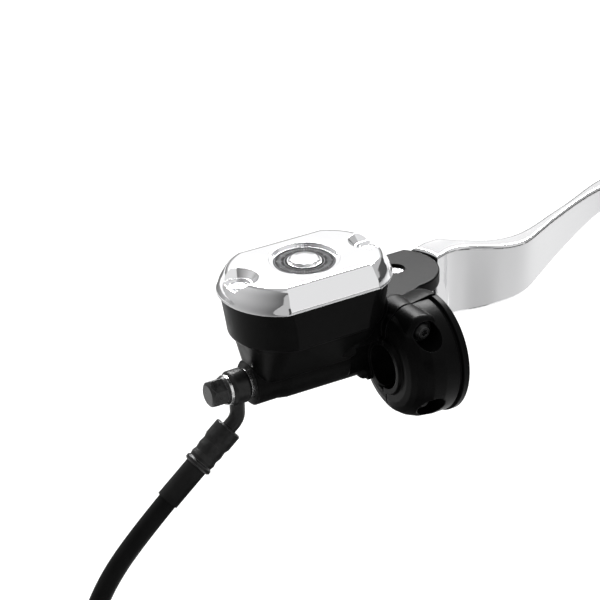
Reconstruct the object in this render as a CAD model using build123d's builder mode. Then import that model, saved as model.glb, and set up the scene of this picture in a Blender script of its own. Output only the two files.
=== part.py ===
from build123d import *

import math
import os

# Brake master cylinder of a motorcycle, for the right-hand end of a one inch handlebar.
# Millimetres. The origin is the middle of the bar clamp, on the handlebar's axis.
# +X runs outboard along the handlebar, +Y forward, away from the rider, and +Z up.

# ---------------------------------------------------------------- driving dimensions
bar_radius = 12.7
clamp_half_length = 17.5
clamp_radius = 33.3
clamp_rim_radius = 34.2
clamp_gap = 1.0
clamp_bolt_x = -2.2
clamp_bolt_zs = (-18.5, 23.8)
clamp_bolt_radius = 3.0
clamp_bolt_seat_y = -12.0
clamp_bolt_pocket_radius = 7.3
clamp_lug_radius = 9.8
clamp_squash = 0.94
bar_relief_radius = bar_radius + 1.8
bar_relief_length = 14.0

cylinder_y = 25.0
cylinder_radius = 7.0
cylinder_end_x = -58.0
cylinder_mouth_x = -3.0
boss_radius = 12.6
boss_face_x = -87.6
boot_seat_radius = 9.6
boot_mouth_x = 8.3

bowl_x = -52.6
bowl_y = 21.0
bowl_top_z = 54.2
bowl_ledge_z = 29.5
bowl_shelf_z = 34.0
bowl_floor_z = 21.0
cavity_half_width = 25.5
cavity_end_radius = 38.0
cavity_end_centre = -3.8
flange_depth = 1.6

cover_half_width = 31.7
cover_end_radius = 34.5
cover_end_centre = 14.2
cover_top_z = 66.5
cover_screw_reach = 39.6
cover_screw_z = 62.1
cover_screw_pocket_z = 61.4
cover_screw_seat_radius = 6.4
cover_screw_dish_radius = 7.2
cover_screw_dish_rise = 1.2
cover_screw_dish_slope = 42.0
medallion_pocket_radius = 18.9
medallion_ring_radius = 16.5
medallion_button_radius = 9.3
medallion_top_z = 64.9
medallion_floor_z = 63.5

pivot_x = 21.0
pivot_y = 47.0
pivot_radius = 4.0
ear_top_z = 29.0
ear_thickness = 8.0
ear_bottom_z = -14.0
ear_radius = 25.2
ear_front_y = 64.9
mirror_x = -11.4
mirror_y = 60.5
mirror_stud_radius = 4.2

lever_hub_radius = 12.5
lever_side_gap = 0.3
lever_shoulder_radius = 27.4
lever_finger_radius = 6.0
lever_edge_radius = 2.0
free_play = 0.3

running_gap = 0.05
washer_radius = 8.35
washer_thickness = 1.5
eye_radius = 9.6
eye_length = 10.8

hose_radius = 5.5
ferrule_length = 27.0
sleeve_length = 24.0
floor_z = -149.0

rod_end_x = pivot_x - lever_finger_radius - free_play
eye_inner_x = boss_face_x - washer_thickness
eye_outer_x = eye_inner_x - eye_length
eye_centre_x = (eye_inner_x + eye_outer_x) / 2
slot_top_z = ear_top_z - ear_thickness
slot_bottom_z = -7.0


# ---------------------------------------------------------------- helpers
def turn(points, origin=(0, 0, 0), direction=(1, 0, 0), normal=(0, -1, 0)):
    """A turned solid: each point is (distance along the axis, radius)."""
    with BuildPart() as turned:
        with BuildSketch(Plane(origin=origin, x_dir=direction, z_dir=normal)):
            with BuildLine():
                Polyline(*points, close=True)
            make_face()
        revolve(axis=Axis(origin, direction))
    return turned.part


def ring_points(near, far, inner, outer):
    """The half profile of a plain washer or tube."""
    return [(near, inner), (far, inner), (far, outer), (near, outer)]


def end_arc_outline(half_width, end_radius, end_centre):
    """A plan with flat long sides, closed at both ends by broad arcs."""
    corner = end_centre + math.sqrt(end_radius**2 - half_width**2)
    tip = end_centre + end_radius
    with BuildSketch() as outline:
        with BuildLine():
            Line((-corner, half_width), (corner, half_width))
            ThreePointArc((corner, half_width), (tip, 0), (corner, -half_width))
            Line((corner, -half_width), (-corner, -half_width))
            ThreePointArc((-corner, -half_width), (-tip, 0), (-corner, half_width))
        make_face()
    return outline.sketch


def bowl_plane(z):
    return Plane(origin=(bowl_x, bowl_y, z))


def bowl_section(z, side_inset, end_inset):
    """The cover's plan, drawn in at the sides and at the ends, at height z."""
    half_width = cover_half_width - side_inset
    outline = end_arc_outline(half_width, cover_end_radius - end_inset, cover_end_centre)
    return bowl_plane(z).location * outline


def cavity_section(z, inset):
    """The plan of the bowl's inside, which stops short of the cover's screws."""
    half_width = cavity_half_width - inset
    outline = end_arc_outline(half_width, cavity_end_radius - inset, cavity_end_centre)
    return bowl_plane(z).location * outline


# ---------------------------------------------------------------- bar clamp
# Half profile of the clamp drum: a stepped collar round the bar on the inboard side, then
# a flare out to full size. The front half ends in a plain band, and the cap in a groove
# and a rim that meets the switch housing.
drum_flare = [
    (-clamp_half_length, 0),
    (-clamp_half_length, 16.0),
    (-15.4, 16.8),
    (-15.4, 21.0),
    (-14.6, 24.6),
    (-12.6, 27.6),
    (-9.0, 30.2),
    (-4.0, 32.3),
    (3.0, clamp_radius),
]
cap_rim = [
    (11.4, clamp_radius),
    (12.2, 31.8),
    (13.2, 31.8),
    (13.8, clamp_rim_radius),
    (clamp_half_length - 0.6, clamp_rim_radius),
    (clamp_half_length, clamp_rim_radius - 0.6),
    (clamp_half_length, 0),
]
front_band = [
    (8.0, 34.0),
    (13.0, clamp_rim_radius + 0.6),
    (clamp_half_length - 1.2, clamp_rim_radius + 0.6),
    (clamp_half_length, clamp_rim_radius - 0.6),
    (clamp_half_length, 0),
]


def half_drum(side, outboard_edge):
    """One half of the clamp drum, side +1 in front of the parting gap and -1 behind it."""
    reach = 2 * clamp_rim_radius
    with BuildPart() as half:
        add(turn(drum_flare + outboard_edge))
        with Locations((0, -side * (reach / 2 - clamp_gap / 2), 0)):
            Box(3 * clamp_half_length, reach, 2 * reach, mode=Mode.SUBTRACT)
    return half.part


def clamp_lugs(side, length):
    """Round lugs along both clamp bolts, from the parting gap to one side of it."""
    with BuildPart() as lugs:
        for z in clamp_bolt_zs:
            with Locations(Location((clamp_bolt_x, side * clamp_gap / 2, z), (-side * 90, 0, 0))):
                Cylinder(
                    clamp_lug_radius, length, align=(Align.CENTER, Align.CENTER, Align.MIN)
                )
        fillet(lugs.edges().sort_by(Axis.Y)[-2:] if side > 0 else lugs.edges().sort_by(Axis.Y)[:2], 4.0)
    return lugs.part


def chamfered_hexagon(start_x, end_x, across_flats):
    """A hexagon head on the cylinder's axis, its corners turned off at the outer end."""
    corner_radius = across_flats / math.sqrt(3)
    with BuildPart() as head:
        with BuildSketch(Plane(origin=(start_x, cylinder_y, 0), z_dir=(-1, 0, 0))):
            RegularPolygon(corner_radius, 6)
        extrude(amount=start_x - end_x)
        fillet(head.edges().filter_by(Axis.X), 0.7)
        round_off = [
            (start_x + 1, 0),
            (start_x + 1, corner_radius + 1),
            (end_x + 2.4, corner_radius + 1),
            (end_x + 2.4, corner_radius),
            (end_x + 0.7, across_flats / 2 - 0.1),
            (end_x, across_flats / 2 - 1.2),
            (end_x, 0),
        ]
        add(turn(round_off, origin=(0, cylinder_y, 0)), mode=Mode.INTERSECT)
    return head.part


with BuildPart() as clamp_cap:
    # The cap is a little flatter than a full half circle.
    add(scale(half_drum(-1, cap_rim), by=(1, clamp_squash, 1)))
    add(clamp_lugs(-1, 17.0))
    with Locations(Location((0, 0, 0), (0, 90, 0))):
        Cylinder(bar_radius, 2 * clamp_half_length, mode=Mode.SUBTRACT)
    for z in clamp_bolt_zs:
        with Locations(Location((clamp_bolt_x, clamp_bolt_seat_y, z), (90, 0, 0))):
            Cylinder(
                clamp_bolt_pocket_radius,
                40,
                align=(Align.CENTER, Align.CENTER, Align.MIN),
                mode=Mode.SUBTRACT,
            )
        with Locations(Location((clamp_bolt_x, -5, z), (90, 0, 0))):
            Cylinder(clamp_bolt_radius + 0.25, 30, mode=Mode.SUBTRACT)
clamp_cap.part.label = "clamp_cap"


def clamp_bolt(z):
    """Button-headed bolt with a six-lobed socket, pointing forward from behind the clamp."""
    seat = clamp_bolt_seat_y - 1.2
    with BuildPart() as bolt:
        add(
            turn(
                [
                    (seat - 3.8, 0),
                    (seat - 3.8, 3.2),
                    (seat - 2.4, 4.5),
                    (seat, 5.0),
                    (seat, clamp_bolt_radius),
                    (12.4, clamp_bolt_radius),
                    (13.2, clamp_bolt_radius - 0.8),
                    (13.2, 0),
                ],
                origin=(clamp_bolt_x, 0, z),
                direction=(0, 1, 0),
                normal=(1, 0, 0),
            )
        )
        with BuildSketch(Plane(origin=(clamp_bolt_x, seat - 3.8, z), z_dir=(0, -1, 0))):
            Circle(1.7)
            with PolarLocations(1.7, 6):
                Circle(0.55)
        extrude(amount=-2.2, mode=Mode.SUBTRACT)
    return bolt.part


def clamp_washer(z):
    points = ring_points(clamp_bolt_seat_y - 1.2, clamp_bolt_seat_y, clamp_bolt_radius + 0.1, 6.3)
    return turn(points, origin=(clamp_bolt_x, 0, z), direction=(0, 1, 0), normal=(1, 0, 0))


with BuildPart() as clamp_bolt_upper:
    add(clamp_bolt(clamp_bolt_zs[1]))
clamp_bolt_upper.part.label = "clamp_bolt_upper"

with BuildPart() as clamp_bolt_lower:
    add(clamp_bolt(clamp_bolt_zs[0]))
clamp_bolt_lower.part.label = "clamp_bolt_lower"

with BuildPart() as clamp_washer_upper:
    add(clamp_washer(clamp_bolt_zs[1]))
clamp_washer_upper.part.label = "clamp_washer_upper"

with BuildPart() as clamp_washer_lower:
    add(clamp_washer(clamp_bolt_zs[0]))
clamp_washer_lower.part.label = "clamp_washer_lower"


# ---------------------------------------------------------------- housing
def ear_plate(low_z, high_z):
    """A plate round the lever's pivot, cut straight across its front."""
    with BuildPart() as plate:
        with BuildSketch(Plane.XY.offset(low_z)):
            with BuildLine():
                front = math.sqrt(ear_radius**2 - (ear_front_y - pivot_y) ** 2)
                Line((-20, 12), (-20, ear_front_y))
                Line((-20, ear_front_y), (pivot_x + front, ear_front_y))
                ThreePointArc(
                    (pivot_x + front, ear_front_y),
                    (pivot_x + ear_radius, pivot_y),
                    (pivot_x, pivot_y - ear_radius),
                )
                Line((pivot_x, pivot_y - ear_radius), (0, 12))
                Line((0, 12), (-20, 12))
            make_face()
        extrude(amount=high_z - low_z)
        fillet(plate.edges().group_by(Axis.Z)[-1], 1.0)
        fillet(plate.edges().group_by(Axis.Z)[0], 1.0)
    return plate.part


def bowl_body():
    """The fluid bowl: upright near its rim, drawn in towards a rounded ledge below."""
    with BuildPart() as bowl:
        loft(
            [
                bowl_section(bowl_ledge_z, 3.0, 4.9),
                bowl_section(42.0, 1.6, 3.3),
                bowl_section(bowl_top_z, 0.7, 1.5),
            ]
        )
        fillet(bowl.edges().group_by(Axis.Z)[0], 2.6)
    return bowl.part


def rounded_block(low, high, radius):
    """A box between two corners, with all its edges rounded."""
    size = [b - a for a, b in zip(low, high)]
    with BuildPart() as block:
        with Locations(low):
            Box(*size, align=(Align.MIN, Align.MIN, Align.MIN))
        fillet(block.edges(), radius)
    return block.part


def shoulder_body():
    """The sloping shoulder that carries the bowl's outboard end down to the clamp."""
    with BuildPart() as shoulder:
        with BuildSketch(Plane(origin=(-26, 22, 47))):
            RectangleRounded(26, 30, 12)
        with BuildSketch(Plane(origin=(-22, 24, 28))):
            RectangleRounded(38, 38, 13)
        with BuildSketch(Plane(origin=(-19, 24, 8))):
            RectangleRounded(42, 38, 10)
        loft()
    return shoulder.part


def neck_body():
    """The casting between the bowl's ledge and the cylinder below it."""
    with BuildPart() as neck:
        with BuildSketch(Plane(origin=(bowl_x, bowl_y, bowl_ledge_z + 3))):
            RectangleRounded(80, 50, 18)
        with BuildSketch(Plane(origin=(bowl_x + 2, cylinder_y, 4))):
            RectangleRounded(70, 28, 10)
        loft()
    return neck.part


def screw_thread_hole(x, y, top_z, depth, radius):
    with Locations((x, y, top_z)):
        Cylinder(
            radius,
            depth,
            align=(Align.CENTER, Align.CENTER, Align.MAX),
            mode=Mode.SUBTRACT,
        )


cover_screw_places = [
    (bowl_x - cover_screw_reach, bowl_y),
    (bowl_x + cover_screw_reach, bowl_y),
]

with BuildPart() as housing:
    add(bowl_body())
    add(neck_body())
    # Cylinder barrel, with a plain boss for the hose fitting at its inboard end.
    add(
        turn(
            [
                (boss_face_x, 0),
                (boss_face_x, boss_radius - 0.8),
                (boss_face_x + 0.8, boss_radius),
                (-74, boss_radius),
                (-68, 13.6),
                (-20, 14.2),
                (boot_mouth_x, 14.2),
                (boot_mouth_x, 0),
            ],
            origin=(0, cylinder_y, 0),
        )
    )
    # Front half of the bar clamp, and the block that ties it to the bowl and the ears.
    add(half_drum(1, front_band))
    add(clamp_lugs(1, 16.0))
    add(rounded_block((-24, 12, ear_bottom_z), (6, ear_front_y, ear_top_z), 4.0))
    add(shoulder_body())
    # Lever ears, above and below the lever's hub.
    add(ear_plate(slot_top_z, ear_top_z))
    add(ear_plate(ear_bottom_z, slot_bottom_z))
    # Upright pad for the mirror's stud, in front of the clamp.
    with Locations((mirror_x, mirror_y, ear_bottom_z + 3)):
        Cylinder(10.5, ear_top_z - ear_bottom_z - 3, align=(Align.CENTER, Align.CENTER, Align.MIN))

    # Handlebar's seat and the two blind threads of the clamp's bolts.
    with Locations(Location((0, 0, 0), (0, 90, 0))):
        Cylinder(bar_radius, 2 * clamp_half_length, mode=Mode.SUBTRACT)
    # Inboard of the clamp the bar bends back, and the casting is relieved to clear it.
    with BuildSketch(Plane(origin=(-clamp_half_length, 0, 0), z_dir=(-1, 0, 0))):
        Circle(bar_relief_radius)
    extrude(amount=bar_relief_length, mode=Mode.SUBTRACT)
    with BuildSketch(Plane(origin=(-clamp_half_length, 0, 0), z_dir=(-1, -0.32, -0.12))):
        Circle(bar_relief_radius)
    extrude(amount=80, mode=Mode.SUBTRACT)
    for z in clamp_bolt_zs:
        with Locations(Location((clamp_bolt_x, 14.0, z), (90, 0, 0))):
            Cylinder(
                clamp_bolt_radius + 0.05,
                20,
                align=(Align.CENTER, Align.CENTER, Align.MIN),
                mode=Mode.SUBTRACT,
            )

    # Slot for the lever's hub and finger.
    with Locations((boot_mouth_x, 17.0, slot_bottom_z)):
        Box(
            60,
            60,
            slot_top_z - slot_bottom_z,
            align=(Align.MIN, Align.MIN, Align.MIN),
            mode=Mode.SUBTRACT,
        )
    with Locations((pivot_x, pivot_y, slot_bottom_z)):
        Cylinder(
            lever_hub_radius + 1.5,
            slot_top_z - slot_bottom_z,
            align=(Align.CENTER, Align.CENTER, Align.MIN),
            mode=Mode.SUBTRACT,
        )

    # Cylinder bore with the circlip's groove, the boot's seat, and the hose's thread.
    add(
        turn(
            [
                (boss_face_x - 1, 0),
                (boss_face_x - 1, 4.85),
                (-73.5, 4.85),
                (-71.0, 2.0),
                (cylinder_end_x, 2.0),
                (cylinder_end_x, cylinder_radius),
                (-6.3, cylinder_radius),
                (-6.3, 7.75),
                (-5.1, 7.75),
                (-5.1, cylinder_radius),
                (cylinder_mouth_x, cylinder_radius),
                (cylinder_mouth_x, boot_seat_radius),
                (boot_mouth_x + 1, boot_seat_radius),
                (boot_mouth_x + 1, 0),
            ],
            origin=(0, cylinder_y, 0),
        ),
        mode=Mode.SUBTRACT,
    )

    # Inside of the bowl, the well below it, the diaphragm's seat, and the two ports.
    with BuildSketch(Plane.XY.offset(bowl_shelf_z)):
        add(cavity_section(0, 0))
    extrude(amount=bowl_top_z - bowl_shelf_z + 1, mode=Mode.SUBTRACT)
    with BuildSketch(Plane(origin=(bowl_x, bowl_y + 2, bowl_floor_z))):
        RectangleRounded(66, 22, 6)
    extrude(amount=bowl_shelf_z - bowl_floor_z + 1, mode=Mode.SUBTRACT)
    with BuildSketch(Plane.XY.offset(bowl_top_z - flange_depth)):
        add(cavity_section(0, -2.2))
    extrude(amount=flange_depth + 1, mode=Mode.SUBTRACT)
    for x, radius in ((-41.0, 0.4), (-25.0, 0.4)):
        with Locations((x, cylinder_y, 3.0)):
            Cylinder(
                radius,
                bowl_floor_z,
                align=(Align.CENTER, Align.CENTER, Align.MIN),
                mode=Mode.SUBTRACT,
            )

    # Threads of the cover's screws, the lever's pin, and the mirror's stud.
    for x, y in cover_screw_places:
        screw_thread_hole(x, y, bowl_top_z, 13.0, 2.5)
    with Locations((pivot_x, pivot_y, 0)):
        Cylinder(pivot_radius + running_gap, 80, mode=Mode.SUBTRACT)
    with Locations((pivot_x, pivot_y, ear_top_z - 4.5)):
        Cylinder(5.8, 10, align=(Align.CENTER, Align.CENTER, Align.MIN), mode=Mode.SUBTRACT)
    with Locations((mirror_x, mirror_y, 0)):
        Cylinder(mirror_stud_radius, 100, mode=Mode.SUBTRACT)
housing.part.label = "housing"


# ---------------------------------------------------------------- cover and its screws
# Each row: height above the foot, then how far the sides and the ends are drawn in.
cover_profile = [
    (0, 0, 0),
    (3.6, 0.9, 1.3),
    (7.6, 2.9, 3.4),
    (10.2, 4.5, 5.0),
    (11.5, 5.8, 6.3),
    (12.1, 7.0, 7.6),
    (cover_top_z - bowl_top_z, 8.6, 9.4),
]


def pocket_outline(x, y, outward, radius):
    """Round on the side of the cover's middle, and straight out past its end."""
    with BuildSketch() as outline:
        with Locations((x, y)):
            Circle(radius)
        with Locations((x + outward * 15, y)):
            Rectangle(30, 2 * radius)
    return outline.sketch


with BuildPart() as reservoir_cover:
    # Nearly upright at the foot, then drawn in more and more up to the level top.
    loft([bowl_section(bowl_top_z + rise, *insets) for rise, *insets in cover_profile])
    # Air space over the diaphragm.
    with BuildSketch(Plane.XY.offset(bowl_top_z)):
        add(cavity_section(0, 0.6))
    extrude(amount=4.6, mode=Mode.SUBTRACT)
    # Round recess for the medallion, with a deeper seat for its ring.
    with Locations((bowl_x, bowl_y, medallion_top_z)):
        Cylinder(
            medallion_pocket_radius,
            10,
            align=(Align.CENTER, Align.CENTER, Align.MIN),
            mode=Mode.SUBTRACT,
        )
    with Locations((bowl_x, bowl_y, medallion_floor_z)):
        Cylinder(
            medallion_ring_radius,
            10,
            align=(Align.CENTER, Align.CENTER, Align.MIN),
            mode=Mode.SUBTRACT,
        )
    # Screw pockets, open through the bevel at each end: a flat seat, then a dished wall.
    for x, y in cover_screw_places:
        outward = math.copysign(1, x - bowl_x)
        with BuildSketch(Plane.XY.offset(cover_screw_pocket_z)):
            add(pocket_outline(x, y, outward, cover_screw_seat_radius))
        extrude(amount=10, mode=Mode.SUBTRACT)
        with BuildSketch(Plane.XY.offset(cover_screw_pocket_z + cover_screw_dish_rise)):
            add(pocket_outline(x, y, outward, cover_screw_dish_radius))
        extrude(amount=6, taper=-cover_screw_dish_slope, mode=Mode.SUBTRACT)
        add(
            turn(
                [
                    (bowl_top_z - 1, 0),
                    (bowl_top_z - 1, 2.7),
                    (cover_screw_pocket_z - 2.2, 2.7),
                    (cover_screw_pocket_z + 0.01, 5.05),
                    (cover_screw_pocket_z + 3, 5.05),
                    (cover_screw_pocket_z + 3, 0),
                ],
                origin=(x, y, 0),
                direction=(0, 0, 1),
            ),
            mode=Mode.SUBTRACT,
        )
reservoir_cover.part.label = "reservoir_cover"


def cover_screw(x, y):
    """Raised countersunk screw with a cross recess."""
    with BuildPart() as screw:
        add(
            turn(
                [
                    (bowl_top_z - 12.0, 0),
                    (bowl_top_z - 12.0, 1.6),
                    (bowl_top_z - 11.0, 2.4),
                    (cover_screw_pocket_z - 2.35, 2.4),
                    (cover_screw_pocket_z - 0.1, 4.8),
                    (cover_screw_pocket_z + 0.25, 4.8),
                    (cover_screw_z, 3.2),
                    (cover_screw_z + 0.2, 0),
                ],
                origin=(x, y, 0),
                direction=(0, 0, 1),
            )
        )
        with BuildSketch(Plane(origin=(x, y, cover_screw_z + 0.5)).rotated((0, 0, 28))):
            Rectangle(5.0, 1.1)
            Rectangle(1.1, 5.0)
        extrude(amount=-2.4, taper=12, mode=Mode.SUBTRACT)
    return screw.part


with BuildPart() as cover_screw_inboard:
    add(cover_screw(*cover_screw_places[0]))
cover_screw_inboard.part.label = "cover_screw_inboard"

with BuildPart() as cover_screw_outboard:
    add(cover_screw(*cover_screw_places[1]))
cover_screw_outboard.part.label = "cover_screw_outboard"

with BuildPart() as medallion_ring:
    add(
        turn(
            ring_points(
                medallion_floor_z, medallion_top_z, medallion_button_radius, medallion_ring_radius - 0.05
            ),
            origin=(bowl_x, bowl_y, 0),
            direction=(0, 0, 1),
        )
    )
medallion_ring.part.label = "medallion_ring"

with BuildPart() as medallion_button:
    add(
        turn(
            [
                (medallion_floor_z, 0),
                (medallion_floor_z, medallion_button_radius - 0.05),
                (medallion_top_z + 0.5, medallion_button_radius - 0.05),
                (medallion_top_z + 0.5, 8.5),
                (medallion_top_z + 1.3, 8.2),
                (medallion_top_z + 1.9, 7.2),
                (medallion_top_z + 2.1, 5.0),
                (medallion_top_z + 2.15, 0),
            ],
            origin=(bowl_x, bowl_y, 0),
            direction=(0, 0, 1),
        )
    )
medallion_button.part.label = "medallion_button"


# ---------------------------------------------------------------- inside the bowl
diaphragm_wall = 1.4
with BuildPart() as diaphragm:
    # Flange between the bowl and its cover, and a pleated rubber pan below it.
    with BuildSketch(Plane.XY.offset(bowl_top_z - flange_depth)):
        add(cavity_section(0, -2.1))
    extrude(amount=flange_depth)
    for step in range(3):
        top = bowl_top_z - flange_depth - 2.4 * step
        with BuildSketch(Plane.XY.offset(top - 2.4)):
            add(cavity_section(0, 1.0 + 3.0 * step))
        extrude(amount=2.4)
    for step in range(3):
        top = bowl_top_z - 2.4 * step
        with BuildSketch(Plane.XY.offset(top - 2.4)):
            add(cavity_section(0, 1.0 + 3.0 * step + diaphragm_wall))
        extrude(amount=2.4, mode=Mode.SUBTRACT)
diaphragm.part.label = "diaphragm"

with BuildPart() as port_baffle:
    # Bent sheet-metal shield that keeps fluid from spurting up out of the ports.
    with BuildSketch(Plane.XY.offset(bowl_floor_z + 3.0)):
        with Locations((-34.5, cylinder_y)):
            RectangleRounded(27, 12, 2)
    extrude(amount=1.0)
    for side in (-1, 1):
        with Locations((-34.5, cylinder_y + side * 5.0, bowl_floor_z)):
            Box(22, 1.0, 3.5, align=(Align.CENTER, Align.CENTER, Align.MIN))
port_baffle.part.label = "port_baffle"


# ---------------------------------------------------------------- piston and its seals
piston_nose_x = -38.0
piston_head_x = -7.4
cup_inner_radius = 4.6
at_cylinder = (0, cylinder_y, 0)

with BuildPart() as piston:
    add(
        turn(
            [
                (piston_nose_x, 0),
                (piston_nose_x, 5.6),
                (-37.2, 5.6),
                (-37.2, cup_inner_radius),
                (-33.4, cup_inner_radius),
                (-33.4, 6.95),
                (-32.0, 6.95),
                (-32.0, 5.0),
                (-15.0, 5.0),
                (-15.0, 6.95),
                (-13.6, 6.95),
                (-13.6, cup_inner_radius),
                (-10.4, cup_inner_radius),
                (-10.4, 6.95),
                (piston_head_x, 6.95),
                (piston_head_x, 4.2),
                (5.0, 4.2),
                (5.0, 2.7),
                (-1.0, 2.7),
                (-1.0, 0),
            ],
            origin=at_cylinder,
        )
    )
piston.part.label = "piston"


def cup_points(near, far):
    """Half profile of a rubber cup seal, its lip opening towards the cylinder's end."""
    return [
        (near + 0.1, cup_inner_radius + 0.02),
        (far - 0.1, cup_inner_radius + 0.02),
        (far - 0.1, 6.7),
        (near + 1.6, 6.85),
        (near + 0.1, 6.95),
        (near + 0.1, 6.2),
        (near + 1.4, 5.7),
        (near + 1.4, 5.5),
        (near + 0.1, 5.3),
    ]


with BuildPart() as primary_cup:
    add(turn(cup_points(-37.2, -33.4), origin=at_cylinder))
primary_cup.part.label = "primary_cup"

with BuildPart() as secondary_cup:
    add(turn(cup_points(-13.6, -10.4), origin=at_cylinder))
secondary_cup.part.label = "secondary_cup"

with BuildPart() as push_rod:
    add(
        turn(
            [
                (-1.0, 0),
                (-1.0, 2.6),
                (rod_end_x - 0.8, 2.6),
                (rod_end_x - 0.2, 1.8),
                (rod_end_x, 0),
            ],
            origin=at_cylinder,
        )
    )
push_rod.part.label = "push_rod"

with BuildPart() as stop_washer:
    add(turn(ring_points(-7.4, -6.4, 4.4, 6.93), origin=at_cylinder))
stop_washer.part.label = "stop_washer"

with BuildPart() as piston_circlip:
    add(turn(ring_points(-6.25, -5.15, 5.8, 7.7), origin=at_cylinder))
    with Locations((-5.7, cylinder_y, -6.6)):
        Box(3, 3.4, 4, mode=Mode.SUBTRACT)
piston_circlip.part.label = "piston_circlip"

with BuildPart() as dust_boot:
    # Rubber bellows from the boot's seat to the push rod.
    add(
        turn(
            [
                (cylinder_mouth_x, 5.4),
                (cylinder_mouth_x, 9.5),
                (-1.0, 9.5),
                (-1.0, 8.0),
                (1.6, 6.6),
                (3.2, 7.4),
                (5.0, 6.2),
                (6.6, 6.8),
                (8.6, 5.4),
                (10.2, 4.2),
                (11.6, 4.2),
                (11.6, 2.7),
                (9.4, 2.7),
                (7.6, 4.6),
                (6.4, 5.6),
                (5.0, 5.0),
                (3.2, 6.2),
                (1.4, 5.4),
            ],
            origin=at_cylinder,
        )
    )
dust_boot.part.label = "dust_boot"

spring_turns = 6
spring_wire = 0.55
spring_length = piston_nose_x - cylinder_end_x
with BuildPart() as return_spring:
    with BuildLine() as coil:
        Helix(
            pitch=(spring_length - 2 * spring_wire) / spring_turns,
            height=spring_length - 2 * spring_wire,
            radius=5.2,
            center=(cylinder_end_x + spring_wire, cylinder_y, 0),
            direction=(1, 0, 0),
        )
    with BuildSketch(Plane(origin=coil.line @ 0, z_dir=coil.line % 0)):
        Circle(spring_wire)
    sweep()
return_spring.part.label = "return_spring"


# ---------------------------------------------------------------- lever and its pivot
# Plan of the lever, from its shoulder out to its tip: the rider's side, then the front.
rider_edge = [
    (66, 48.8), (78, 42.6), (89, 36.4), (101, 34.2), (114, 38.6), (132, 47.6), (150, 55.8),
    (169, 63.6), (188, 69.6),
]
front_edge = [
    (190, 79.0), (172, 71.6), (154, 63.6), (136, 56.6), (118, 49.4), (102, 45.8), (88, 48.0),
    (77, 55.0),
]
lever_tip = (214, 76)
shoulder_near = (49.2, 45.6)
shoulder_far = (43.0, 63.4)


def lever_plan():
    """The whole lever from above, less its hub and finger."""
    mid = (pivot_x + lever_shoulder_radius, pivot_y + 7)
    with BuildSketch() as plan:
        with BuildLine():
            Line(shoulder_near, (57, 48.2))
            Spline((57, 48.2), *rider_edge, (206, 72.2))
            ThreePointArc((206, 72.2), (212.4, 77.6), (206, 81.8))
            Spline(
                (206, 81.8), *front_edge, (66, 64.4), (54, 66.6), tangents=[(-1, 0), (-1, -0.1)]
            )
            Line((54, 66.6), shoulder_far)
            ThreePointArc(shoulder_far, mid, shoulder_near)
        make_face()
    return plan.sketch


def lever_side():
    """The lever from the rider's side: level on top, its underside rising to the tip."""
    with BuildSketch(Plane.XZ) as side:
        with BuildLine():
            Polyline((30, ear_bottom_z), (30, ear_top_z), (230, ear_top_z), (230, 15.0))
            Spline(
                (230, 15.0), (208, 14.0), (187, 11.2), (142, 2.6), (112, -3.0), (86, -9.5),
                (64, ear_bottom_z), tangents=[(-1, 0), (-1, 0)],
            )
            Line((64, ear_bottom_z), (30, ear_bottom_z))
        make_face()
    return side.sketch


with BuildPart() as brake_lever:
    with BuildSketch(Plane.XY.offset(ear_bottom_z)):
        add(lever_plan())
    extrude(amount=ear_top_z - ear_bottom_z)
    extrude(lever_side(), amount=-200, mode=Mode.INTERSECT)
    top_edges = brake_lever.edges().group_by(Axis.Z)[-1]
    low_edges = brake_lever.edges().filter_by(lambda edge: edge.bounding_box().max.Z < ear_top_z - 1)
    fillet(top_edges + low_edges, lever_edge_radius)
    # Tongue between the ears: hub, arm and the finger that pushes the piston.
    with BuildSketch(Plane.XY.offset(slot_bottom_z + lever_side_gap)):
        with Locations((pivot_x, pivot_y)):
            Circle(lever_hub_radius)
        with BuildLine():
            Polyline(
                (pivot_x, pivot_y + lever_hub_radius), (56, 62), (56, 50),
                (pivot_x + 4, pivot_y - 10), close=True,
            )
        make_face()
    extrude(amount=slot_top_z - slot_bottom_z - 2 * lever_side_gap)
    with BuildSketch(Plane.XY.offset(slot_bottom_z + lever_side_gap)):
        with Locations((pivot_x, cylinder_y)):
            Circle(lever_finger_radius)
        with Locations((pivot_x + 1, (cylinder_y + pivot_y) / 2)):
            Rectangle(2 * lever_finger_radius - 2, pivot_y - cylinder_y)
    extrude(amount=13.0)
    with Locations((pivot_x, pivot_y, 0)):
        Cylinder(5.0, 100, mode=Mode.SUBTRACT)
brake_lever.part.label = "brake_lever"

at_pivot = (pivot_x, pivot_y, 0)
with BuildPart() as lever_bush:
    add(
        turn(
            ring_points(
                slot_bottom_z + lever_side_gap, slot_top_z - lever_side_gap, pivot_radius + running_gap, 5.0
            ),
            origin=at_pivot,
            direction=(0, 0, 1),
        )
    )
lever_bush.part.label = "lever_bush"

with BuildPart() as pivot_pin:
    add(
        turn(
            [
                (-17.2, 0),
                (-17.2, 3.4),
                (-16.6, pivot_radius),
                (-15.2, pivot_radius),
                (-15.2, 3.3),
                (-14.3, 3.3),
                (-14.3, pivot_radius),
                (ear_top_z - 4.5, pivot_radius),
                (ear_top_z - 4.5, 5.7),
                (ear_top_z - 2.2, 5.7),
                (ear_top_z - 1.6, 5.2),
                (ear_top_z - 1.6, 0),
            ],
            origin=at_pivot,
            direction=(0, 0, 1),
        )
    )
pivot_pin.part.label = "pivot_pin"

with BuildPart() as pivot_circlip:
    add(turn(ring_points(-15.15, -14.35, 3.35, 6.2), origin=at_pivot, direction=(0, 0, 1)))
    with Locations((pivot_x + 5, pivot_y, -14.7)):
        Box(6, 4.4, 3, mode=Mode.SUBTRACT)
pivot_circlip.part.label = "pivot_circlip"


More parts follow.
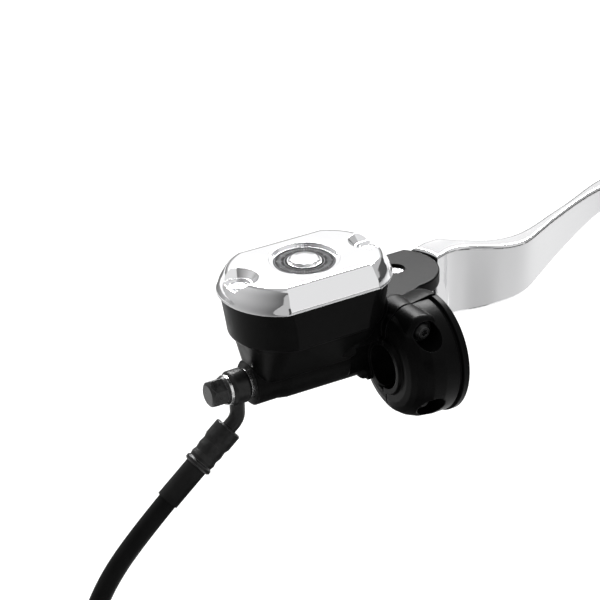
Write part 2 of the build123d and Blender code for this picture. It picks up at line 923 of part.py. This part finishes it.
# ---------------------------------------------------------------- hose fitting at the cylinder
with BuildPart() as crush_washer_inner:
    add(turn(ring_points(eye_inner_x, boss_face_x, 5.1, washer_radius), origin=at_cylinder))
crush_washer_inner.part.label = "crush_washer_inner"

with BuildPart() as crush_washer_outer:
    add(
        turn(
            ring_points(eye_outer_x - washer_thickness, eye_outer_x, 5.1, washer_radius),
            origin=at_cylinder,
        )
    )
crush_washer_outer.part.label = "crush_washer_outer"

with BuildPart() as banjo_bolt:
    head_x = eye_outer_x - washer_thickness
    add(
        turn(
            [
                (head_x - 1.6, 0),
                (head_x - 1.6, 7.6),
                (head_x, 8.1),
                (head_x, 4.75),
                (eye_centre_x - 2.5, 4.75),
                (eye_centre_x - 2.5, 3.9),
                (eye_centre_x + 2.5, 3.9),
                (eye_centre_x + 2.5, 4.75),
                (-75.0, 4.75),
                (-74.0, 4.0),
                (-74.0, 0),
            ],
            origin=at_cylinder,
        )
    )
    add(chamfered_hexagon(head_x - 1.6, head_x - 10.4, 13.6))
    # Fluid way: a blind drilling along the bolt, crossed inside the fitting's eye.
    with Locations(Location((-74.0, cylinder_y, 0), (0, -90, 0))):
        Cylinder(
            1.6, 24, align=(Align.CENTER, Align.CENTER, Align.MIN), mode=Mode.SUBTRACT
        )
    with Locations((eye_centre_x, cylinder_y, 0)):
        Cylinder(1.3, 12, mode=Mode.SUBTRACT)
banjo_bolt.part.label = "banjo_bolt"


# ---------------------------------------------------------------- hose route
# Control points of the hose, from the crimped ferrule down to the loose coil.
hose_points = [
    (-121.0, 25.0, -41.0),
    (-155.6, 25.0, -69.6),
    (-183.4, 23.0, -97.6),
    (-203.0, 6.0, -118.5),
    (-219.0, -17.5, -131.5),
    (-228.0, -48.0, -141.5),
]
coil_centre = (-178.3, -53.2)
coil_inner_radius = 50.0
coil_pitch = 11.6
coil_turns = 1.267
coil_start_angle = 174.0
coil_lead_out = 20.0
hose_start = Vector(*hose_points[0])
hose_direction = (Vector(*hose_points[0]) - Vector(*hose_points[1])).normalized()
ferrule_start = hose_start + hose_direction * ferrule_length
neck_radius = 4.2


def ferrule_points(length):
    """Half profile of the crimp: plain shell, waist, then a rolled bead at the hose end."""
    return [
        (0, 4.3),
        (0, 7.2),
        (0.6, 7.9),
        (9.5, 7.9),
        (12.0, 7.1),
        (15.5, 7.5),
        (19.0, 6.9),
        (21.5, 7.5),
        (23.6, 7.0),
        (24.6, 8.0),
        (26.2, 8.0),
        (length, 7.2),
        (length, 0),
        (8.0, 0),
        (8.0, 4.3),
    ]


with BuildPart() as hose_ferrule:
    add(
        turn(
            ferrule_points(ferrule_length),
            origin=tuple(ferrule_start),
            direction=tuple(-hose_direction),
            normal=(0, 1, 0),
        )
    )
hose_ferrule.part.label = "hose_ferrule"


def banjo_eye(plane, neck_path):
    """A drilled eye with a flat face each side, and the bent neck that leaves it."""
    with BuildPart() as eye:
        with BuildSketch(plane):
            Circle(eye_radius)
        extrude(amount=eye_length / 2, both=True)
        fillet(eye.edges(), 2.4)
        with BuildLine():
            add(neck_path)
        with BuildSketch(Plane(origin=neck_path @ 0, z_dir=neck_path % 0)):
            Circle(neck_radius)
        sweep()
        with BuildSketch(plane):
            Circle(5.1)
        extrude(amount=eye_length, both=True, mode=Mode.SUBTRACT)
    return eye.part


with BuildPart() as banjo_fitting:
    with BuildLine() as neck_line:
        back = (eye_centre_x - ferrule_start.X) / hose_direction.X
        bend = ferrule_start + hose_direction * back
        end = ferrule_start - hose_direction * 7.5
        FilletPolyline((eye_centre_x, cylinder_y, -6.5), tuple(bend), tuple(end), radius=9.0)
    add(banjo_eye(Plane(origin=(eye_centre_x, cylinder_y, 0), z_dir=(1, 0, 0)), neck_line.line))
banjo_fitting.part.label = "banjo_fitting"

with BuildPart() as hose_sleeve:
    add(
        turn(
            ring_points(0, sleeve_length, hose_radius, hose_radius + 0.9),
            origin=tuple(hose_start),
            direction=tuple(-hose_direction),
            normal=(0, 1, 0),
        )
    )
hose_sleeve.part.label = "hose_sleeve"


def corner_radii(points):
    """The largest arc that each corner of a route has room for."""
    radii = []
    for before, here, after in zip(points, points[1:], points[2:]):
        first = Vector(*here) - Vector(*before)
        second = Vector(*after) - Vector(*here)
        half_turn = math.radians(first.get_angle(second) / 2)
        radii.append(0.45 * min(first.length, second.length) / math.tan(half_turn))
    return radii


with BuildPart() as brake_hose:
    radii = corner_radii(hose_points)
    print("hose bend radii", [round(r, 1) for r in radii])
    with BuildLine() as route:
        FilletPolyline(*hose_points, radius=radii)
    with BuildSketch(Plane(origin=route.line @ 0, z_dir=route.line % 0)):
        Circle(hose_radius)
    sweep()
    route_length = route.wires()[0].length
    share = brake_hose.part.volume / (math.pi * hose_radius**2 * route_length)
    print("hose tube length", round(route_length, 1), "volume over section times length", share)
brake_hose.part.label = "brake_hose"

# The far end of the hose leaves the coil along its tangent, and lies on the floor.
coil_outer_radius = coil_inner_radius + coil_pitch * coil_turns
coil_end_angle = math.radians(coil_start_angle + 360 * coil_turns)
fitting_z = floor_z + 8.0
coil_end = Vector(
    coil_centre[0] + coil_outer_radius * math.cos(coil_end_angle),
    coil_centre[1] + coil_outer_radius * math.sin(coil_end_angle),
    fitting_z,
)
end_direction = Vector(-math.sin(coil_end_angle), math.cos(coil_end_angle), 0)
crimp_start = coil_end + end_direction * coil_lead_out
crimp_end = crimp_start + end_direction * ferrule_length
end_eye_centre = crimp_end + end_direction * (10 + eye_radius)
with BuildPart() as hose_coil:
    with BuildSketch(Plane(origin=(*coil_centre, floor_z))):
        Circle(coil_outer_radius + hose_radius)
        Circle(coil_inner_radius - hose_radius, mode=Mode.SUBTRACT)
    extrude(amount=2 * hose_radius)
    with BuildSketch(Plane(origin=tuple(coil_end), z_dir=tuple(end_direction))):
        Circle(hose_radius)
    extrude(amount=coil_lead_out)
hose_coil.part.label = "hose_coil"

with BuildPart() as hose_end_ferrule:
    add(
        turn(
            ferrule_points(ferrule_length),
            origin=tuple(crimp_end),
            direction=tuple(-end_direction),
            normal=(0, 0, 1),
        )
    )
hose_end_ferrule.part.label = "hose_end_ferrule"

with BuildPart() as hose_end_banjo:
    with BuildLine() as end_neck_line:
        Line(
            tuple(end_eye_centre - end_direction * 6.5),
            tuple(crimp_end - end_direction * 7.5),
        )
    add(banjo_eye(Plane(origin=tuple(end_eye_centre)), end_neck_line.line))
hose_end_banjo.part.label = "hose_end_banjo"
print("far eye", end_eye_centre)

pieces = [
    housing, reservoir_cover, medallion_ring, medallion_button, cover_screw_inboard,
    cover_screw_outboard, diaphragm, port_baffle, clamp_cap, clamp_bolt_upper,
    clamp_bolt_lower, clamp_washer_upper, clamp_washer_lower, banjo_bolt,
    crush_washer_inner, crush_washer_outer, banjo_fitting, hose_ferrule, hose_sleeve,
    brake_hose, hose_coil, hose_end_ferrule, hose_end_banjo, pivot_pin, pivot_circlip,
    piston_circlip, stop_washer, return_spring, dust_boot, brake_lever, lever_bush,
    piston, primary_cup, secondary_cup, push_rod,
]
os.makedirs("parts", exist_ok=True)
for piece in pieces:
    export_step(piece.part, f"parts/{piece.part.label}.step")
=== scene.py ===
import math

import bmesh
import bpy
from mathutils import Matrix, Vector


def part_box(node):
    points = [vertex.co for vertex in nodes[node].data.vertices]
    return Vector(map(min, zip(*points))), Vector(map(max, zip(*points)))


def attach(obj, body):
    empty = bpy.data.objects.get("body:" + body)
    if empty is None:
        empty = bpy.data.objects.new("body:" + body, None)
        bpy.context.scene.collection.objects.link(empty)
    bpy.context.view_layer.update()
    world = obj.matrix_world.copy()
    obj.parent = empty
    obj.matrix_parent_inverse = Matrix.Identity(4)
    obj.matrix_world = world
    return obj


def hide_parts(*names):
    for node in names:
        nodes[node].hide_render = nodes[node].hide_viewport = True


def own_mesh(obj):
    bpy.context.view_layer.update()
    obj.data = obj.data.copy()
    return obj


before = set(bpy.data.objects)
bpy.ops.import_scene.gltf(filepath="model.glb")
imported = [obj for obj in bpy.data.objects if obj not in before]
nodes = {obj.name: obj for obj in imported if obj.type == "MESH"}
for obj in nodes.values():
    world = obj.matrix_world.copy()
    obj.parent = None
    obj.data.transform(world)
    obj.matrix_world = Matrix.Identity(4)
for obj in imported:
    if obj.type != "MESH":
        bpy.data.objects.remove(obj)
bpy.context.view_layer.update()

MM = 0.001


def middle(node):
    """The middle of a CAD node's box, in metres."""
    low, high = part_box(node)
    return Vector([(a + b) / 2 for a, b in zip(low, high)])


# ---------------------------------------------------------------- camera
camera_place = (-0.4752, -0.7128, 0.4854)
camera_heading, camera_downward, camera_roll = 29.74, 27.65, -1.8  # degrees
camera_lens = 108
camera_sensor = 36


def add_camera():
    """A long lens on the rider's side of the bar, looking down at the bowl's cover."""
    heading, downward = math.radians(camera_heading), math.radians(camera_downward)
    roll = math.radians(camera_roll)
    turn = (
        Matrix.Rotation(-heading, 4, "Z")
        @ Matrix.Rotation(math.pi / 2 - downward, 4, "X")
        @ Matrix.Rotation(roll, 4, "Z")
    )
    data = bpy.data.cameras.new("camera")
    data.lens = camera_lens
    data.sensor_width = camera_sensor
    data.clip_start = 0.01
    data.clip_end = 50
    camera = bpy.data.objects.new("camera", data)
    camera.matrix_world = Matrix.Translation(camera_place) @ turn
    bpy.context.scene.collection.objects.link(camera)
    bpy.context.scene.camera = camera


add_camera()


# ---------------------------------------------------------------- node helpers
class Shader:
    """A material being built: its nodes are added and joined by short calls."""

    def __init__(self, name, **sockets):
        self.material = bpy.data.materials.new(name)
        self.material.use_nodes = True
        self.tree = self.material.node_tree
        self.surface = self.tree.nodes["Principled BSDF"]
        for socket, value in sockets.items():
            self.surface.inputs[socket.replace("_", " ")].default_value = value
        self.place = self.add("ShaderNodeTexCoord").outputs["Object"]

    def add(self, kind, **settings):
        node = self.tree.nodes.new(kind)
        for name, value in settings.items():
            setattr(node, name, value)
        return node

    def join(self, source, target):
        self.tree.links.new(source, target)

    def noise(self, scale, detail=3.0, stretch=(1, 1, 1), roughness=0.5):
        """Noise over the object, its scale given per metre."""
        mapping = self.add("ShaderNodeMapping")
        mapping.inputs["Scale"].default_value = stretch
        self.join(self.place, mapping.inputs["Vector"])
        node = self.add("ShaderNodeTexNoise")
        node.inputs["Scale"].default_value = scale
        node.inputs["Detail"].default_value = detail
        node.inputs["Roughness"].default_value = roughness
        self.join(mapping.outputs["Vector"], node.inputs["Vector"])
        return node.outputs["Fac"]

    def spread(self, value, low, high, start=0.3, end=0.7):
        """The value's range from start to end, stretched from low to high."""
        node = self.add("ShaderNodeMapRange")
        limits = {"From Min": start, "From Max": end, "To Min": low, "To Max": high}
        for name, number in limits.items():
            node.inputs[name].default_value = number
        self.join(value, node.inputs["Value"])
        return node.outputs["Result"]

    def tint(self, value, *stops):
        """A colour ramp: each stop is (position, grey level or colour)."""
        node = self.add("ShaderNodeValToRGB")
        ramp = node.color_ramp
        while len(ramp.elements) < len(stops):
            ramp.elements.new(0.5)
        for element, (position, colour) in zip(ramp.elements, stops):
            element.position = position
            level = colour if isinstance(colour, tuple) else (colour,) * 3
            element.color = (*level, 1)
        self.join(value, node.inputs["Fac"])
        return node.outputs["Color"]

    def edges(self, radius):
        """From 0 on open faces to 1 on an edge that rubs."""
        bevel = self.add("ShaderNodeBevel", samples=6)
        bevel.inputs["Radius"].default_value = radius
        geometry = self.add("ShaderNodeNewGeometry")
        dot = self.add("ShaderNodeVectorMath", operation="DOT_PRODUCT")
        self.join(bevel.outputs["Normal"], dot.inputs[0])
        self.join(geometry.outputs["Normal"], dot.inputs[1])
        return self.spread(dot.outputs["Value"], 1.0, 0.0, 0.86, 0.995)

    def bump(self, *layers, rounding=0.0):
        """Height layers of (value, distance in metres), over softly rounded edges."""
        last = None
        if rounding:
            bevel = self.add("ShaderNodeBevel", samples=6)
            bevel.inputs["Radius"].default_value = rounding
            last = bevel.outputs["Normal"]
        for value, distance in layers:
            node = self.add("ShaderNodeBump")
            node.inputs["Strength"].default_value = 1.0
            node.inputs["Distance"].default_value = distance
            self.join(value, node.inputs["Height"])
            if last is not None:
                self.join(last, node.inputs["Normal"])
            last = node.outputs["Normal"]
        self.join(last, self.surface.inputs["Normal"])

    def set(self, socket, value):
        self.join(value, self.surface.inputs[socket])


# ---------------------------------------------------------------- materials
def chrome(name, level, roughness):
    """Bright plate: faint haze from wiping, and hairline polishing marks."""
    shader = Shader(name, Metallic=1.0, Base_Color=(level, level, level * 1.01, 1))
    haze = shader.noise(55, 4)
    shader.set("Roughness", shader.spread(haze, roughness * 0.6, roughness * 1.5))
    hairlines = shader.noise(900, 2, stretch=(0.08, 1, 1))
    shader.bump((hairlines, 0.000002), (shader.noise(70, 1), 0.000012), rounding=0.0003)
    return shader.material


def powder_coat():
    """Satin black coat over a casting, thin and polished by hands along its edges."""
    shader = Shader("powder_coat", Specular_IOR_Level=0.065)
    mottle = shader.noise(120, 5)
    worn = shader.edges(0.0007)
    mix = shader.add("ShaderNodeMix", data_type="RGBA")
    shader.join(worn, mix.inputs["Factor"])
    shader.join(shader.tint(mottle, (0.3, 0.0010), (0.7, 0.0020)), mix.inputs["A"])
    mix.inputs["B"].default_value = (0.010, 0.010, 0.0105, 1)
    shader.set("Base Color", mix.outputs["Result"])
    shader.set("Roughness", shader.spread(mottle, 0.30, 0.42))
    grains = shader.noise(1500, 2)
    waves = shader.noise(260, 2)
    shader.bump((grains, 0.000012), (waves, 0.00002), rounding=0.0008)
    return shader.material


def rubber(name, level, roughness, grain=0.00003, specular=0.1):
    shader = Shader(name, Specular_IOR_Level=specular)
    dust = shader.noise(90, 6, roughness=0.6)
    shader.set("Base Color", shader.tint(dust, (0.35, level), (0.75, level * 2.2)))
    shader.set("Roughness", shader.spread(dust, roughness - 0.06, roughness + 0.08))
    shader.bump((shader.noise(1400, 3), grain), (shader.noise(200, 2), grain))
    return shader.material


def black_metal(name, level, roughness):
    """Blackened fasteners and fittings, rubbed brighter on their corners."""
    shader = Shader(name, Metallic=0.6)
    worn = shader.edges(0.0004)
    mix = shader.add("ShaderNodeMix", data_type="RGBA")
    shader.join(worn, mix.inputs["Factor"])
    blotch = shader.noise(300, 4)
    shader.join(shader.tint(blotch, (0.3, level), (0.7, level * 1.8)), mix.inputs["A"])
    mix.inputs["B"].default_value = (0.12, 0.12, 0.125, 1)
    shader.set("Base Color", mix.outputs["Result"])
    shader.set("Roughness", shader.spread(blotch, roughness - 0.06, roughness + 0.08))
    shader.bump((shader.noise(900, 3), 0.00001), rounding=0.0004)
    return shader.material


def bare_metal(name, colour, roughness, stretch=(1, 1, 0.1)):
    """Machined or drawn metal, with fine marks along one way."""
    shader = Shader(name, Metallic=1.0)
    marks = shader.noise(1200, 3, stretch=stretch)
    stain = shader.noise(150, 4)
    dark = tuple(c * 0.8 for c in colour)
    shader.set("Base Color", shader.tint(stain, (0.3, dark), (0.65, colour)))
    shader.set("Roughness", shader.spread(marks, roughness - 0.07, roughness + 0.1))
    shader.bump((marks, 0.000008), rounding=0.0002)
    return shader.material


finishes = {
    "chrome_cover": chrome("chrome_cover", 0.92, 0.06),
    # The lever's chrome is a darker copy of the cover's chrome: its lower level is painted shade
    # standing in for the lever's darker reflections.
    "chrome_lever_painted_shade": chrome("chrome_lever_painted_shade", 0.79, 0.08),
    "powder_coat": powder_coat(),
    "badge_black": rubber("badge_black", 0.012, 0.62, grain=0.00001, specular=0.03),
    "badge_tick": bare_metal("badge_tick", (0.10, 0.10, 0.105), 0.5),
    "bright_screw": bare_metal("bright_screw", (0.74, 0.74, 0.75), 0.18),
    "black_bolt": black_metal("black_bolt", 0.018, 0.3),
    "black_fitting": black_metal("black_fitting", 0.012, 0.36),
    "soft_washer": bare_metal("soft_washer", (0.8, 0.8, 0.8), 0.22, stretch=(0.1, 1, 1)),
    "hose_rubber": rubber("hose_rubber", 0.0016, 0.5),
    "sleeve_rubber": rubber("sleeve_rubber", 0.005, 0.42),
    "seal_rubber": rubber("seal_rubber", 0.012, 0.55),
    "spring_steel": bare_metal("spring_steel", (0.5, 0.5, 0.51), 0.28),
    "anodised": bare_metal("anodised", (0.55, 0.53, 0.46), 0.3, stretch=(0.1, 1, 1)),
    "bronze": bare_metal("bronze", (0.62, 0.42, 0.22), 0.35),
}

node_finish = {
    "housing": "powder_coat",
    "clamp_cap": "powder_coat",
    "reservoir_cover": "chrome_cover",
    "medallion_button": "chrome_cover",
    "medallion_ring": "badge_black",
    "cover_screw_inboard": "bright_screw",
    "cover_screw_outboard": "bright_screw",
    "pivot_pin": "bright_screw",
    "clamp_bolt_upper": "black_bolt",
    "clamp_bolt_lower": "black_bolt",
    "clamp_washer_upper": "black_bolt",
    "clamp_washer_lower": "black_bolt",
    "banjo_bolt": "black_bolt",
    "banjo_fitting": "black_fitting",
    "hose_ferrule": "black_fitting",
    "hose_end_ferrule": "black_fitting",
    "hose_end_banjo": "black_fitting",
    "crush_washer_inner": "soft_washer",
    "crush_washer_outer": "soft_washer",
    "hose_sleeve": "sleeve_rubber",
    "diaphragm": "seal_rubber",
    "dust_boot": "seal_rubber",
    "primary_cup": "seal_rubber",
    "secondary_cup": "seal_rubber",
    "port_baffle": "spring_steel",
    "pivot_circlip": "spring_steel",
    "piston_circlip": "spring_steel",
    "stop_washer": "spring_steel",
    "return_spring": "spring_steel",
    "push_rod": "spring_steel",
    "piston": "anodised",
    "lever_bush": "bronze",
    "brake_lever": "chrome_lever_painted_shade",
    "brake_hose": "hose_rubber",
    "hose_coil": "hose_rubber",
}

for node, finish in node_finish.items():
    mesh = nodes[node].data
    mesh.materials.clear()
    mesh.materials.append(finishes[finish])


# ---------------------------------------------------------------- brake hose
hose_radius = 5.5 * MM
floor_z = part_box("hose_coil")[0][2]
hose_points_mm = [
    (-121.0, 25.0, -41.0),
    (-155.6, 25.0, -69.6),
    (-183.4, 23.0, -97.6),
    (-203.0, 6.0, -118.5),
    (-219.0, -17.5, -131.5),
]
coil_turns = 1.267
coil_start = 174  # degrees round from +X
coil_spread = 11.6 * MM  # from one turn to the next
coil_steps = 20
coil_landing = 2.0 * MM  # above the floor where the hose arrives
coil_lift = 2.5 * MM  # above the floor where it leaves for the far ferrule


def coil_points():
    """The put-away turns: an opening spiral on the floor that runs out to the far ferrule."""
    low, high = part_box("hose_coil")
    outer = (high[1] - low[1]) / 2 - hose_radius
    inner = outer - coil_spread * coil_turns
    centre_x, centre_y = low[0] + outer + hose_radius, (low[1] + high[1]) / 2
    points = []
    for step in range(coil_steps + 1):
        share = step / coil_steps
        angle = math.radians(coil_start) + 2 * math.pi * coil_turns * share
        reach = inner + (outer - inner) * share
        landing = coil_landing * max(0, 1 - 4 * share)
        lift = coil_lift * max(0, 4 * share - 3)
        height = floor_z + hose_radius + landing + lift
        points.append(
            (centre_x + reach * math.cos(angle), centre_y + reach * math.sin(angle), height)
        )
    end_x, end_y, end_z = points[-1]
    along = Vector((-math.sin(angle), math.cos(angle)))
    for distance in (10 * MM, 20 * MM):
        points.append((end_x + along.x * distance, end_y + along.y * distance, end_z))
    return points


def nurbs_line(name, points, radius):
    """A smooth round cord through its control points."""
    curve = bpy.data.curves.new(name, "CURVE")
    curve.dimensions = "3D"
    curve.bevel_depth = radius
    curve.bevel_resolution = 8
    curve.use_fill_caps = True
    spline = curve.splines.new("NURBS")
    spline.points.add(len(points) - 1)
    for point, place in zip(spline.points, points):
        point.co = (*place, 1)
    spline.order_u = 3
    spline.use_endpoint_u = True
    spline.resolution_u = 12
    line = bpy.data.objects.new(name, curve)
    bpy.context.scene.collection.objects.link(line)
    return line


hose_points = [tuple(c * MM for c in point) for point in hose_points_mm]
hose = nurbs_line("rubber_hose", hose_points + coil_points(), hose_radius)
hose.data.materials.append(finishes["hose_rubber"])
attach(hose, "housing")
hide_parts("brake_hose", "hose_coil")


# ---------------------------------------------------------------- copies of the spring and boot
def folding_copy(node):
    """A copy of a node with a mesh of its own, carried by the housing; the node itself is hidden.
    """
    piece = nodes[node].copy()
    piece.data = nodes[node].data.copy()
    piece.name = node + "_folding"
    bpy.context.scene.collection.objects.link(piece)
    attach(piece, "housing")
    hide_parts(node)
    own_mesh(piece)


folding_copy("return_spring")
folding_copy("dust_boot")


# ---------------------------------------------------------------- badge marks
tick_count = 60
long_tick = (11.6, 15.0, 0.55)  # inner radius, outer radius and width, in mm
short_tick = (12.4, 14.4, 0.42)
tick_height = 0.24  # mm
rim_radii = (10.6, 15.8)  # mm
rim_outline = ((-0.22, 0.0), (-0.1, 0.14), (0.1, 0.14), (0.22, 0.0))
rim_sections = 96


def add_tick(mesh, index):
    """One raised bar across the ring, longer at every fifth place."""
    inner, outer, width = short_tick if index % 5 else long_tick
    size = ((outer - inner) * MM, width * MM, tick_height * MM)
    turn = Matrix.Rotation(2 * math.pi * index / tick_count, 3, "Z")
    tick = bmesh.ops.create_cube(mesh, size=1)["verts"]
    bmesh.ops.scale(mesh, vec=size, verts=tick)
    bmesh.ops.translate(mesh, vec=((inner + outer) / 2 * MM, 0, 0), verts=tick)
    bmesh.ops.rotate(mesh, cent=(0, 0, 0), matrix=turn, verts=tick)


def add_rim(mesh, radius):
    """A fine raised line round the ring."""
    rims = []
    for index in range(rim_sections):
        angle = 2 * math.pi * index / rim_sections
        ring = []
        for reach, rise in rim_outline:
            r = (radius + reach) * MM
            ring.append(mesh.verts.new((r * math.cos(angle), r * math.sin(angle), rise * MM)))
        rims.append(ring)
    corners = len(rim_outline)
    for index, ring in enumerate(rims):
        following = rims[(index + 1) % rim_sections]
        for k in range(corners):
            other = (k + 1) % corners
            mesh.faces.new((ring[k], following[k], following[other], ring[other]))


def badge_marks():
    """Generic raised ticks and two fine rims on the badge's dark ring."""
    centre = middle("medallion_ring")
    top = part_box("medallion_ring")[1][2]
    mesh = bmesh.new()
    for index in range(tick_count):
        add_tick(mesh, index)
    for radius in rim_radii:
        add_rim(mesh, radius)
    bmesh.ops.translate(mesh, vec=(centre.x, centre.y, top), verts=mesh.verts)
    bmesh.ops.recalc_face_normals(mesh, faces=mesh.faces)
    data = bpy.data.meshes.new("badge_marks")
    mesh.to_mesh(data)
    mesh.free()
    piece = bpy.data.objects.new("badge_marks", data)
    bpy.context.scene.collection.objects.link(piece)
    data.materials.append(finishes["badge_tick"])
    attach(piece, "housing")


badge_marks()


# ---------------------------------------------------------------- studio
target = Vector((-0.03, 0.02, 0.04))
floor_level = 0.04
floor_glow = 1.0  # bright enough to burn out to plain white
floor_side = 12
floor_roughness = 0.6
card_roughness = 0.9


def plain(name, level, roughness, right_level=None):
    """Matt paper: one grey, or a grey that changes from the sheet's left to its right."""
    shader = Shader(name)
    if right_level is None:
        colour = shader.tint(shader.noise(3, 2), (0.3, level * 0.99), (0.7, level))
    else:
        parts = shader.add("ShaderNodeSeparateXYZ")
        shader.join(shader.place, parts.inputs["Vector"])
        across = shader.spread(parts.outputs["X"], 0, 1, -0.5, 0.5)
        colour = shader.tint(across, (0, level), (1, right_level))
    shader.set("Base Color", colour)
    shader.surface.inputs["Roughness"].default_value = roughness
    return shader.material


def add_plane(name, place, level, roughness, right_level=None):
    bpy.ops.mesh.primitive_plane_add(size=1, location=place)
    plane = bpy.context.object
    plane.name = name
    plane.data.materials.append(plain(name, level, roughness, right_level))
    return plane


def add_floor():
    floor = add_plane("floor", (0, 0, floor_z - 0.2 * MM), floor_level, floor_roughness)
    floor.scale = (floor_side, floor_side, 1)
    glow = floor.data.materials[0].node_tree.nodes["Principled BSDF"]
    glow.inputs["Emission Color"].default_value = (1, 1, 1, 1)
    glow.inputs["Emission Strength"].default_value = floor_glow


def heading_vector(heading, elevation):
    """A direction from its compass heading, clockwise from +Y, and its height, in degrees."""
    turn, rise = math.radians(heading), math.radians(elevation)
    level = math.cos(rise)
    return Vector((math.sin(turn) * level, math.cos(turn) * level, math.sin(rise)))


def hide_card(card):
    card.visible_camera = False
    card.visible_shadow = False
    card.visible_diffuse = False


def add_flat_card(name, place, size, level, height):
    """A grey card lying this many millimetres over the floor, seen only in the bright plate."""
    card = add_plane(name, (*place, floor_z + height * MM), level, card_roughness)
    card.scale = (*size, 1)
    hide_card(card)


def add_card(name, heading, elevation, size, level, right_level=None, distance=1.6):
    """A grey card out of view, which the bright plate reflects as a darker band."""
    away = heading_vector(heading, elevation)
    card = add_plane(name, target + away * distance, level, card_roughness, right_level)
    card.scale = (*size, 1)
    card.rotation_euler = (-away).to_track_quat("Z", "Y").to_euler()
    hide_card(card)


def add_light(name, heading, elevation, size, brightness, distance=1.5):
    """A soft panel, its brightness given as radiance so that its size doesn't change it."""
    light = bpy.data.lights.new(name, "AREA")
    light.shape = "RECTANGLE"
    light.size, light.size_y = size
    light.energy = brightness * math.pi * size[0] * size[1]
    away = heading_vector(heading, elevation)
    lamp = bpy.data.objects.new(name, light)
    lamp.location = target + away * distance
    lamp.rotation_euler = away.to_track_quat("Z", "Y").to_euler()
    lamp.visible_camera = False
    bpy.context.scene.collection.objects.link(lamp)
    return lamp


def add_world(level):
    world = bpy.data.worlds.new("studio")
    world.use_nodes = True
    background = world.node_tree.nodes["Background"]
    background.inputs["Color"].default_value = (1, 1, 1, 1)
    background.inputs["Strength"].default_value = level
    bpy.context.scene.world = world


bpy.context.scene.view_settings.view_transform = "Standard"
add_floor()
add_world(0.5)

# Panels: what lights the black coat, and what the bright plate reflects as white.
key = add_light("key", 300, 62, (0.45, 0.45), 16)
key.visible_glossy = False
add_light("near_panel", 150, 40, (1.6, 2.6), 0.32)
add_light("back_panel", 30, 27, (2.2, 0.34), 0.56)
add_light("high_panel", 30, 41, (1.6, 0.42), 30)

# Cards: the greys and dark lines in the bright plate.
add_card("left_card", 276, 34, (4.6, 3.6), 0.10, 0.50)
add_card("right_card", 96, 3, (1.7, 0.4), 0.03)
add_card("near_card", 184, 5, (0.9, 0.5), 0.03)
add_card("far_card", 30, 4, (2.6, 0.30), 0.10)
add_card("low_card", 352, -21, (0.62, 0.20), 0.42, 0.03, distance=0.42)
add_flat_card("side_card", (-1.45, 0.05), (2.3, 2.6), 0.30, 2)
add_flat_card("front_card", (0.60, -1.25), (3.4, 2.3), 0.36, 1)
add_flat_card("far_side_card", (1.3, 0), (2.0, 1.2), 0.36, 1.5)
lever_card = add_plane("lever_card", (0.21, -0.175, 0.055), 0.02, card_roughness)
lever_card.scale = (0.18, 0.075, 1)
lever_card.rotation_euler = (math.radians(-90), 0, math.radians(12))
hide_card(lever_card)
add_flat_card("below_card", (-0.03, 0), (0.16, 0.22), 0.02, 20)
